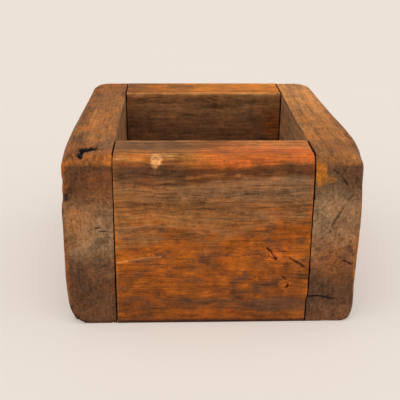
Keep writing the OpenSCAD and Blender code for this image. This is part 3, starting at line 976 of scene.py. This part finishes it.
def make_front_board():
    """Rolled and reddened along the top, dull brown below that, then rusty and flaked."""
    board = cross_board("front_board", FRONT, FRONT_INNER, FRONT_ROUND, 131, FINE_STEP * 1.15)
    points = board.points
    x, y, z = points.T
    across = ease(x, BOARD_LEFT, BOARD_RIGHT)
    streaky = rough(points, (26 * MM, 4 * MM, 1.6 * MM), 141, octaves=3)
    cloudy = rough(points, (16 * MM, 12 * MM, 6 * MM), 143, octaves=3)
    front = board.facing(1, -1)

    # The face, from the foot up: rusty and glossy below, duller brown above
    line = z - (0.039 + 0.010 * across) - 0.007 * cloudy
    upper = ease(line, -0.004, 0.005)
    lower = front * (1 - upper)
    blotched = rough(points, (5 * MM, 4 * MM, 3.2 * MM), 145, octaves=4)
    board.tint(RUSSET, front)
    board.tint(WALNUT, lower * 0.25)
    board.fade(RUSSET * 0.5, lower, z, 0.036, 0.020, 0.35)
    board.fade(AMBER, lower, blotched, 0.25, 0.9, 0.55)
    board.fade(UMBER, lower, blotched, -0.15, -0.9, 0.75)
    board.tint(BROWN * 0.9, front * upper * 0.95)
    board.fade(DRIFT, front * upper, streaky, 0.0, 1.0, 0.55)
    board.tint(DRIFT, front * ease(z, 0.056, 0.066) * (0.20 + 0.35 * across))
    board.patch(HONEY, front, (-0.022, FRONT, 0.050), (0.026, 1, 0.007), 0.35)
    board.tint(RUSSET, front * ease(blotched, 0.2, 0.8) * ease(z, 0.062, 0.050) * 0.6)
    board.fade(UMBER, front, streaky, 0.35, 1.2, 0.5)
    hairlines = rough(points, (20 * MM, 4 * MM, 0.8 * MM), 146, octaves=2)
    board.tint(SOOT_AND_SHADE, front * (0.35 + 0.65 * upper) * ease(hairlines, 0.5, 1.2) * 0.5)
    board.tint(UMBER, front * ease(z, 0.028, 0.006) * (0.22 + 0.12 * streaky))
    for colour, across_at, height, size, share in (
            (UMBER, 0.030, 0.0085, (0.018, 1, 0.0042), 0.8),
            (UMBER, -0.006, 0.0110, (0.018, 1, 0.0020), 0.5),
            (RUSSET, -0.005, 0.0050, (0.030, 1, 0.0020), 0.6)):
        board.patch(colour, front, (across_at, FRONT, height), size, share)

    # The dark band under the rounded top edge, with its ragged lower side
    band_low = 0.0690 + 0.0040 * across + 0.0016 * rough(points, 9 * MM, 147, octaves=3)
    band = front * ease(z, band_low - 1.6 * MM, band_low + 1.2 * MM) * ease(z, 0.0808, 0.0790)
    sooty = ease(rough(points, (5 * MM, 5 * MM, 1.3 * MM), 149, octaves=2), 0.2, 0.9)
    board.tint(UMBER, band * (0.85 - 0.40 * across))
    board.patch(SOOT_AND_SHADE, band * sooty, (-0.022, FRONT, 0.0725), (0.024, 1, 0.004), 0.8)
    board.fade(RUSSET * 0.4, band, across, 0.10, 0.4, 0.6)

    # The rounded edge: orange at the left, red-orange at the right, polished by hands. Its orange is partly
    # worn wood and partly a painted highlight of its sheen, palest along the crown
    wavy = z + 0.8 * MM * rough(points, 13 * MM, 148, octaves=3)
    rolled_low = 0.0772 + 0.0006 * across - 0.0020 * np.sin(math.pi * across)
    rolled = ease(wavy, rolled_low, rolled_low + 3.0 * MM)
    rolled *= ease(y, FRONT_INNER - 8 * MM, FRONT + 7.5 * MM)
    board.tint(CHESTNUT, rolled * 0.95)
    board.fade(HONEY, rolled, wavy, 0.0795, 0.0808, 0.7)
    board.tint(AMBER, rolled * (0.25 + 0.25 * cloudy + 0.35 * ease(across, 0.1, 0.35)))
    board.tint(EMBER, rolled * ease(across, 0.25, 0.65) * (0.70 + 0.25 * streaky))
    board.streak([(-43.5, -70.3, 80.0), (-38.0, -70.3, 80.0), (-32.0, -70.8, 79.2)], 0.7, STRAW, 0.7)
    board.polish += rolled * 0.9 + front * ease(z, 0.045, 0.025) * 0.35
    strip = board.facing(2, 1) * ease(y, FRONT + 9 * MM, FRONT + 13 * MM)
    for colour, start, end, share in ((WALNUT, 0.75, 0.15, 1.0), (DRIFT, 0.5, 0.0, 0.25),
                                      (EMBER, 0.35, 0.8, 0.55), (STRAW, 0.5, 0.9, 0.25)):
        board.fade(colour, strip, across, start, end, share)
    board.spot((-25.3, -71.0, 80.2), (2.6, 4.0, 3.4), STRAW)
    board.spot((-23.0, -68.5, TOP), (7.0, 2.6, 2.0), STRAW, 0.45)
    board.dent((-25.0, -71.0, 80.0), (1.8, 3.0, 2.2), 0.35)

    # A paler arris along the rim
    worn_edge(board, np.hypot(y - FRONT_INNER, z - RIM), STRAW, 0.9, 151)

    # Flakes lifted out of the lower right of the face
    for path, width, depth in (
            (on_face((24.5, 38.0), (27.0, 36.3), (29.0, 33.0)), 0.75, 0.8),
            (on_face((29.5, 36.8), (33.0, 36.5)), 0.40, 0.35),
            (on_face((25.5, 34.5), (29.0, 32.4)), 0.50, 0.5),
            (on_face((35.0, 33.0), (39.0, 30.5), (42.5, 28.6)), 0.50, 0.5),
            (on_face((37.5, 31.0), (41.5, 28.2)), 0.45, 0.4),
            (on_face((31.8, 23.6), (34.6, 21.8), (35.2, 19.4), (34.0, 18.0)), 0.60, 0.7)):
        board.groove(path, width, depth, dark=0.75, wander=0.5)
    for across_at, height, size in ((28.5, 33.6, (4.6, 3.0, 3.0)), (35.5, 33.0, (4.4, 3.0, 2.2)),
                                    (39.5, 29.2, (4.4, 3.0, 2.6)), (33.5, 20.4, (3.2, 3.0, 1.8))):
        board.spot((across_at, FACE, height), size, (AMBER + EMBER) / 2, 0.45)
    board.spot((36.0, FACE, 47.0), (9.0, 3.0, 5.0), RUSSET, 0.5)
    board.dent((30.0, FACE, 34.0), (4.5, 3.0, 2.5), 0.25)
    board.dent((39.0, FACE, 30.0), (4.0, 3.0, 2.5), 0.25)

    # Dark patches low on the face
    board.spot((31.0, FACE, 9.6), (19.0, 3.0, 4.2), UMBER, 0.85)
    board.spot((-4.0, FACE, 11.5), (16.0, 3.0, 1.6), UMBER, 0.6)

    # Dark and pale streaks along the grain
    for path, width, depth, dark in (
            (on_face((-20.0, 43.9), (-13.0, 44.2), (-6.5, 43.7)), 0.7, 0.12, 0.42),
            (on_face((2.0, 43.8), (14.0, 44.1)), 0.5, 0.08, 0.25),
            (on_face((10.0, 33.6), (15.0, 34.6), (20.0, 34.9), (25.0, 34.0)), 0.6, 0.12, 0.5),
            (on_face((-33.5, 53.0), (-30.0, 52.9)), 0.4, 0.1, 0.4),
            (on_face((-35.0, 36.0), (-28.0, 37.0), (-24.0, 38.5)), 0.8, 0.10, 0.35)):
        board.groove(path, width, depth, dark)
    board.streak(on_face((-43.5, 31.8), (-38.0, 32.0), (-33.0, 33.6), (-24.0, 34.0)), 0.35, STRAW, 0.5)
    board.spot((10.0, FACE, 73.2), (1.4, 3.0, 1.2), STRAW, 0.2)
    board.streak(on_face((-12.0, 72.4), (-2.0, 73.2), (4.0, 73.8)), 0.5, HONEY, 0.6)
    board.streak(on_face((-26.0, 70.2), (-15.0, 71.0)), 0.35, HONEY, 0.5)

    # Rubbed wood along both ends, and the notch that the split foot fills
    board.patch(RUSSET, front, (BOARD_RIGHT, FRONT, 0.046), (0.0014, 1, 0.022), 0.8)
    board.patch(AMBER, front, (BOARD_LEFT, FRONT, 0.046), (0.0012, 1, 0.030), 0.45)
    end = ease(x, BOARD_RIGHT - 1.6 * MM, BOARD_RIGHT)
    points[:, 0] -= end * ease(z, SPLIT_Z + 0.4 * MM, SPLIT_Z - 0.4 * MM) * (SPLIT_SHIFT - SPLIT_GAP)
    points[:, 0] -= end * ease(z, 0.040, 0.072) * 0.2 * MM
    # Painted shadow along the foot, where the board meets the floor
    painted_contact_shadow(board)
    make_board("front_board", board, BOARD_WOOD, "box")


def make_back_board():
    """Like the front board, but plainer, and dark on the inside."""
    board = cross_board("back_board", BACK, BACK_INNER, BACK_ROUND, 211, FINE_STEP * 1.35)
    points = board.points
    x, y, z = points.T
    across = ease(x, BOARD_LEFT, BOARD_RIGHT)
    streaky = rough(points, (30 * MM, 4 * MM, 2 * MM), 221, octaves=3)
    outside = board.facing(1, 1)
    inside = board.facing(1, -1)
    board.tint(CHESTNUT, outside * 0.6)
    board.fade(UMBER, outside, streaky, 0.2, 1.1, 0.7)
    board.fade(WALNUT, outside, z, 0.055, 0.072, 0.6)
    board.fade(UMBER, outside, z, 0.014, 0.003, 0.6)
    top = board.facing(2, 1)
    board.tint(AMBER, top)
    board.fade(OCHRE * 1.5, top, x, -0.030, 0.0, 0.6)
    board.fade(AMBER * 1.25, top, across, 0.2, 0.5, 0.6)
    board.fade(UMBER, top, x, -0.010, -0.042, 0.5)
    board.spot((-12.0, 60.0, TOP), (9.0, 9.0, 3.0), UMBER, 0.5)
    board.polish += top * 0.6 + outside * 0.2

    # The wall seen through the open top: reddish under the rim, then dark with painted shade lower down
    # inside the box
    board.tint(DRIFT, inside * 0.35)
    board.fade(UMBER, inside, z, 0.074, 0.062, 0.7)
    board.fade(BROWN, inside, z, 0.070, 0.080, 0.4)
    smoky = rough(points, (9 * MM, 9 * MM, 3 * MM), 223, octaves=2)
    board.fade(SOOT_AND_SHADE, inside, smoky, 0.3, 1.1, 0.35)
    board.patch(RUSSET, inside, (0.040, BACK_INNER, 0.063), (0.004, 1, 0.009), 0.6)
    board.patch(SOOT_AND_SHADE, inside, (0.006, BACK_INNER, 0.074), (0.009, 1, 0.0018), 0.6)
    worn_edge(board, np.hypot(y - BACK_INNER, z - RIM), STRAW, 0.5, 231)
    board.knock(60, 3 * MM, 0.4 * MM)
    board.groove([(-38.0, 72.5, 51.0), (-10.0, 72.5, 52.5), (12.0, 72.5, 51.8)], 0.5, 0.7, dark=0.7)
    board.groove([(44.0, 72.5, 24.0), (18.0, 72.5, 25.2)], 0.45, 0.6, dark=0.65)
    # Painted shadow along the foot, where the board meets the floor
    painted_contact_shadow(board)
    make_board("back_board", board, BOARD_WOOD, "box")


# ---------------------------------------------------------------- base and press

# As the frame has them
HOLE_RADIUS = 15.5 * MM
TENON_RADIUS = 7.0 * MM
BOSS_CHAMFER = 1.2 * MM
CARVE_DEPTH = 1.6 * MM
PETALS = 6
PETAL_START = 1.5 * MM
PETAL_LENGTH = 27 * MM
CORNER_LEAF = 11 * MM
RING_RADIUS = 33 * MM
LINE_WIDTH = 1.8 * MM
BORDER_INSET = 3.5 * MM

# Worn edges and grids
HOLE_ARRIS = 0.7 * MM
PLATE_CORNER = 1.5 * MM
PLATE_ARRIS = 0.6 * MM
PLATE_STEP = 0.5 * MM
HOLE_SIDES = 420
BASE_RINGS = 58
BOSS_SIDES = 160
BOSS_CENTRE = 0.4 * MM


def loop_solid(profiles):
    """Closed surface through loops of points. The last loop joins the first again."""
    loops, around = profiles.shape[:2]
    number = np.arange(loops * around).reshape(loops, around)
    after = np.roll(number, -1, axis=1)
    below, below_after = np.roll(number, -1, axis=0), np.roll(after, -1, axis=0)
    faces = np.stack([number, after, below_after, below], axis=-1).reshape(-1, 4)
    return profiles.reshape(-1, 3), faces


def make_base_board():
    """The base: a board with a round hole, built as rings of points from the hole out to its edge."""
    low, high = (np.array(corner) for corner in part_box("base_board"))
    centre = np.array(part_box("press_boss")[0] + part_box("press_boss")[1])[:2] / 2
    turn = np.linspace(0, 2 * math.pi, HOLE_SIDES, endpoint=False)
    ray = np.stack([np.cos(turn), np.sin(turn)], axis=1)
    room = [np.where(ray[:, k] > 0, high[k] - centre[k], centre[k] - low[k]) for k in (0, 1)]
    reach = np.minimum(*(room[k] / np.abs(ray[:, k] + 1e-12) for k in (0, 1)))
    shares = np.linspace(0, 1, BASE_RINGS)
    radii = HOLE_RADIUS + (reach[None, :] - HOLE_RADIUS) * shares[:, None]
    heights = grid_lines(low[2], high[2], THICKNESS_STEP)

    def loops(radius_rows, z_rows):
        """A loop of points round the hole for each row of radii and its height."""
        return np.array([np.column_stack([centre + ray * radius[:, None], np.full(HOLE_SIDES, z)])
                         for radius, z in zip(radius_rows, z_rows)])

    top = loops(radii, [high[2]] * len(radii))
    wall = loops([radii[-1]] * len(heights), heights[::-1])[1:-1]
    foot = loops(radii[::-1], [low[2]] * len(radii))
    hole = loops([radii[0]] * len(heights), heights)[1:-1]
    points, faces = loop_solid(np.concatenate([top, wall, foot, hole])[::-1])
    away = np.linalg.norm(points[:, :2] - centre, axis=1) - HOLE_RADIUS
    for z, way in ((low[2], 1), (high[2], -1)):
        over = HOLE_ARRIS - (points[:, 2] - z) * way
        past = HOLE_ARRIS - away
        far = np.hypot(over, past)
        out = (over > 0) & (past > 0) & (far > HOLE_ARRIS)
        pull = np.where(out, 1 - HOLE_ARRIS / np.maximum(far, 1e-9), 0)
        widening = past * pull / np.maximum(away + HOLE_RADIUS, 1e-9)
        points[:, 2] += way * over * pull
        points[:, :2] += (points[:, :2] - centre) * widening[:, None]
    board = Board(points, faces, 1, WALNUT, 301)
    board.weather(lumps=0.12, ridges=0.06, pits=0.05)
    board.knock(50, 3 * MM, 0.35 * MM)
    board.tint(UMBER, ease(rough(points, 14 * MM, 303, octaves=3), -0.2, 0.8) * 0.7)
    board.tint(SOOT_AND_SHADE, ease(away, 5 * MM, 0) * 0.5)
    board.groove([(-40.0, -40.0, 0), (-39.0, 5.0, 0), (-39.6, 38.0, 0)], 0.4, 0.5, dark=0.7)
    board.groove([(27.0, 43.0, 0), (26.2, 10.0, 0)], 0.4, 0.5, dark=0.65)
    make_board("base_board", board, BASE_WOOD, "box")


def leaf_inside(across, length):
    """How far inside a pointed leaf along +X from the origin each point lies, negative outside."""
    tip = np.array([length / 2, 0])
    rise = np.array([0, length * math.sqrt(3) / 2])
    arcs = [np.linalg.norm(across - tip - way * rise, axis=1) for way in (1, -1)]
    return length - np.maximum(*arcs)


def turned(across, degrees):
    """The points turned round the origin."""
    angle = math.radians(degrees)
    spin = np.array([[math.cos(angle), -math.sin(angle)], [math.sin(angle), math.cos(angle)]])
    return across @ spin


def carving(across, half_size):
    """Depth of the chip-carved print at each point: rosette, ring, corner leaves and border."""
    depth = np.zeros(len(across))
    for petal in range(PETALS):
        inside = leaf_inside(turned(across, petal * 360 / PETALS) - (PETAL_START, 0), PETAL_LENGTH)
        depth = np.maximum(depth, inside * 0.5)
    for corner in range(4):
        start = (RING_RADIUS + 2 * LINE_WIDTH, 0)
        inside = leaf_inside(turned(across, 45 + 90 * corner) - start, CORNER_LEAF)
        depth = np.maximum(depth, inside * 0.75)
    ring = np.abs(np.linalg.norm(across, axis=1) - RING_RADIUS - LINE_WIDTH / 2)
    border = np.abs((half_size - np.abs(across)).min(axis=1) - BORDER_INSET - LINE_WIDTH / 2)
    for line in (ring, border):
        depth = np.maximum(depth, (LINE_WIDTH / 2 - line) * 1.1)
    return np.minimum(depth, CARVE_DEPTH)


def make_press_plate():
    """The loose plate that lies on the base, with its carved print."""
    low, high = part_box("press_plate")
    points, faces = grid_block(grid_lines(low.x, high.x, PLATE_STEP), grid_lines(low.y, high.y, PLATE_STEP),
                               grid_lines(low.z, high.z, 2 * PLATE_STEP))
    sides = [(0, low.x, 1), (0, high.x, -1), (1, low.y, 1), (1, high.y, -1)]
    for a, b in ((0, 2), (0, 3), (1, 2), (1, 3)):
        round_edge(points, sides[a], sides[b], PLATE_CORNER)
    for side, level in itertools.product(sides, ((2, low.z, 1), (2, high.z, -1))):
        round_edge(points, side, level, PLATE_ARRIS)
    plate = Board(points, faces, 0, HONEY, 401)
    plate.weather(lumps=0.06, ridges=0.05, pits=0.04)
    top = plate.facing(2, 1)
    middle = np.array([(low.x + high.x) / 2, (low.y + high.y) / 2])
    half_size = np.array([(high.x - low.x) / 2, (high.y - low.y) / 2])
    cut = carving(points[:, :2] - middle, half_size) * (points[:, 2] > high.z - 0.3 * MM)
    plate.sink += cut
    plate.tint(BROWN, top * ease(rough(points, 15 * MM, 403, octaves=3), -0.3, 0.8) * 0.5)
    plate.tint(UMBER, ease(cut, 0.3 * MM, 1.3 * MM) * 0.65)
    edge = half_size - np.abs(points[:, :2] - middle)
    plate.tint(UMBER, ease(edge.min(axis=1), 3.5 * MM, 0.2 * MM) * 0.6)
    plate.tint(WALNUT, plate.facing(2, -1) * 0.7)
    plate.polish += top * 0.5
    make_board("press_plate", plate, PRESS_WOOD, "press")


def boss_profile(radius, low, shoulder, high):
    """Distance from the axis and height of each ring, from the worn lower end up into the plate."""
    profile = [(r, low) for r in np.linspace(BOSS_CENTRE, radius - BOSS_CHAMFER, 28)]
    for angle in np.linspace(0, math.pi / 2, 7)[1:]:
        inwards, upwards = BOSS_CHAMFER * (1 - math.sin(angle)), BOSS_CHAMFER * (1 - math.cos(angle))
        profile.append((radius - inwards, low + upwards))
    profile += [(radius, z) for z in np.linspace(low + BOSS_CHAMFER, shoulder, 16)[1:]]
    profile += [(r, shoulder) for r in np.linspace(radius, TENON_RADIUS, 10)[1:]]
    profile += [(TENON_RADIUS, z) for z in np.linspace(shoulder, high, 6)[1:]]
    return profile + [(r, high) for r in np.linspace(TENON_RADIUS, BOSS_CENTRE, 8)[1:]]


def make_press_boss():
    """The turned boss: rings round its axis, closed at both ends by a fan of triangles."""
    low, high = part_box("press_boss")
    middle = (low + high) / 2
    profile = boss_profile((high.x - low.x) / 2, low.z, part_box("press_plate")[0].z, high.z)
    turn = np.linspace(0, 2 * math.pi, BOSS_SIDES, endpoint=False)
    rings = [np.column_stack([middle.x + r * np.cos(turn), middle.y + r * np.sin(turn),
                              np.full(BOSS_SIDES, z)]) for r, z in profile]
    number = np.arange(len(profile) * BOSS_SIDES).reshape(len(profile), BOSS_SIDES)
    after = np.roll(number, -1, axis=1)
    walls = np.stack([number[:-1], after[:-1], after[1:], number[1:]], axis=-1).reshape(-1, 4)
    foot, crown = number.size, number.size + 1
    foot_fan = np.stack([np.full(BOSS_SIDES, foot), after[0], number[0], number[0]], axis=-1)
    crown_fan = np.stack([np.full(BOSS_SIDES, crown), number[-1], after[-1], after[-1]], axis=-1)
    points = np.concatenate(rings + [[(middle.x, middle.y, low.z), (middle.x, middle.y, high.z)]])
    boss = Board(points, np.concatenate([walls, foot_fan, crown_fan]), 2, HONEY, 501)
    turning = rough(points, (1, 1, 0.9 * MM), 503) * ease(points[:, 2], 0.8 * MM, 1.6 * MM)
    boss.sink += np.maximum(0.08 + 0.06 * turning, 0) * MM
    boss.tint(BROWN, ease(rough(points, 6 * MM, 505, octaves=3), -0.2, 0.8) * 0.6)
    boss.polish += 0.5
    make_board("press_boss", boss, PRESS_WOOD, "press")


# ---------------------------------------------------------------- table, light and camera

FLOOR_SIZE = 12.0
FLOOR_GLOW = 0.40
CAMERA_PLACE = Vector((-18.5, -386.8, 185.7)) * MM
CAMERA_YAW = math.radians(-2.24)
CAMERA_PITCH = math.radians(21.46)
CAMERA_ROLL = math.radians(0.54)
CAMERA_LENS = 68.96
CAMERA_SENSOR = 36
CAMERA_NEAREST = 0.01
AMBIENT = 0.42
WARM_WHITE = (1.0, 0.975, 0.95)
# Where each soft light comes from, its strength and its spread in degrees
SOFT_LIGHTS = {
    "key": (Vector((-0.35, -0.55, 1.0)), 0.86, 90),
    "fill": (Vector((0.30, -0.60, 1.0)), 0.75, 110),
}


def make_floor():
    """The plain pale table it stands on."""
    mesh = bpy.data.meshes.new("floor")
    half = FLOOR_SIZE / 2
    corners = [(-half, -half, 0), (half, -half, 0), (half, half, 0), (-half, half, 0)]
    mesh.from_pydata(corners, [], [(0, 1, 2, 3)])
    mesh.materials.append(backdrop_material())
    link("floor", mesh)


def add_light(name, source, strength, spread):
    """A broad soft light from far away, in the direction of source."""
    light = bpy.data.lights.new(name, "SUN")
    light.energy, light.angle, light.color = strength, math.radians(spread), WARM_WHITE
    link(name, light).rotation_euler = (-source).to_track_quat("-Z", "Y").to_euler()


def light_scene():
    """An even glow from all round, and the soft lights."""
    world = bpy.data.worlds.new("soft_room")
    world.use_nodes = True
    sky = world.node_tree.nodes["Background"]
    sky.inputs["Color"].default_value = (*WARM_WHITE, 1.0)
    sky.inputs["Strength"].default_value = AMBIENT
    bpy.context.scene.world = world
    for name, settings in SOFT_LIGHTS.items():
        add_light(name, *settings)
    bpy.context.scene.view_settings.view_transform = "Standard"


def place_camera():
    lens = bpy.data.cameras.new("camera")
    lens.sensor_width = CAMERA_SENSOR
    lens.lens = CAMERA_LENS
    lens.clip_start = CAMERA_NEAREST
    camera = link("camera", lens)
    turn = Matrix.Rotation(CAMERA_YAW, 4, "Z") @ Matrix.Rotation(math.pi / 2 - CAMERA_PITCH, 4, "X")
    camera.matrix_world = Matrix.Translation(CAMERA_PLACE) @ turn @ Matrix.Rotation(CAMERA_ROLL, 4, "Z")
    bpy.context.scene.camera = camera


# ---------------------------------------------------------------- putting it together

for make in (make_left_block, make_right_block, make_front_board, make_back_board, make_base_board,
             make_press_plate, make_press_boss):
    make()
rows = nail_tree()
for seed, node in enumerate(NAIL_ROWS):
    make_nails(node, rows, seed + 1)
make_floor()
light_scene()
place_camera()
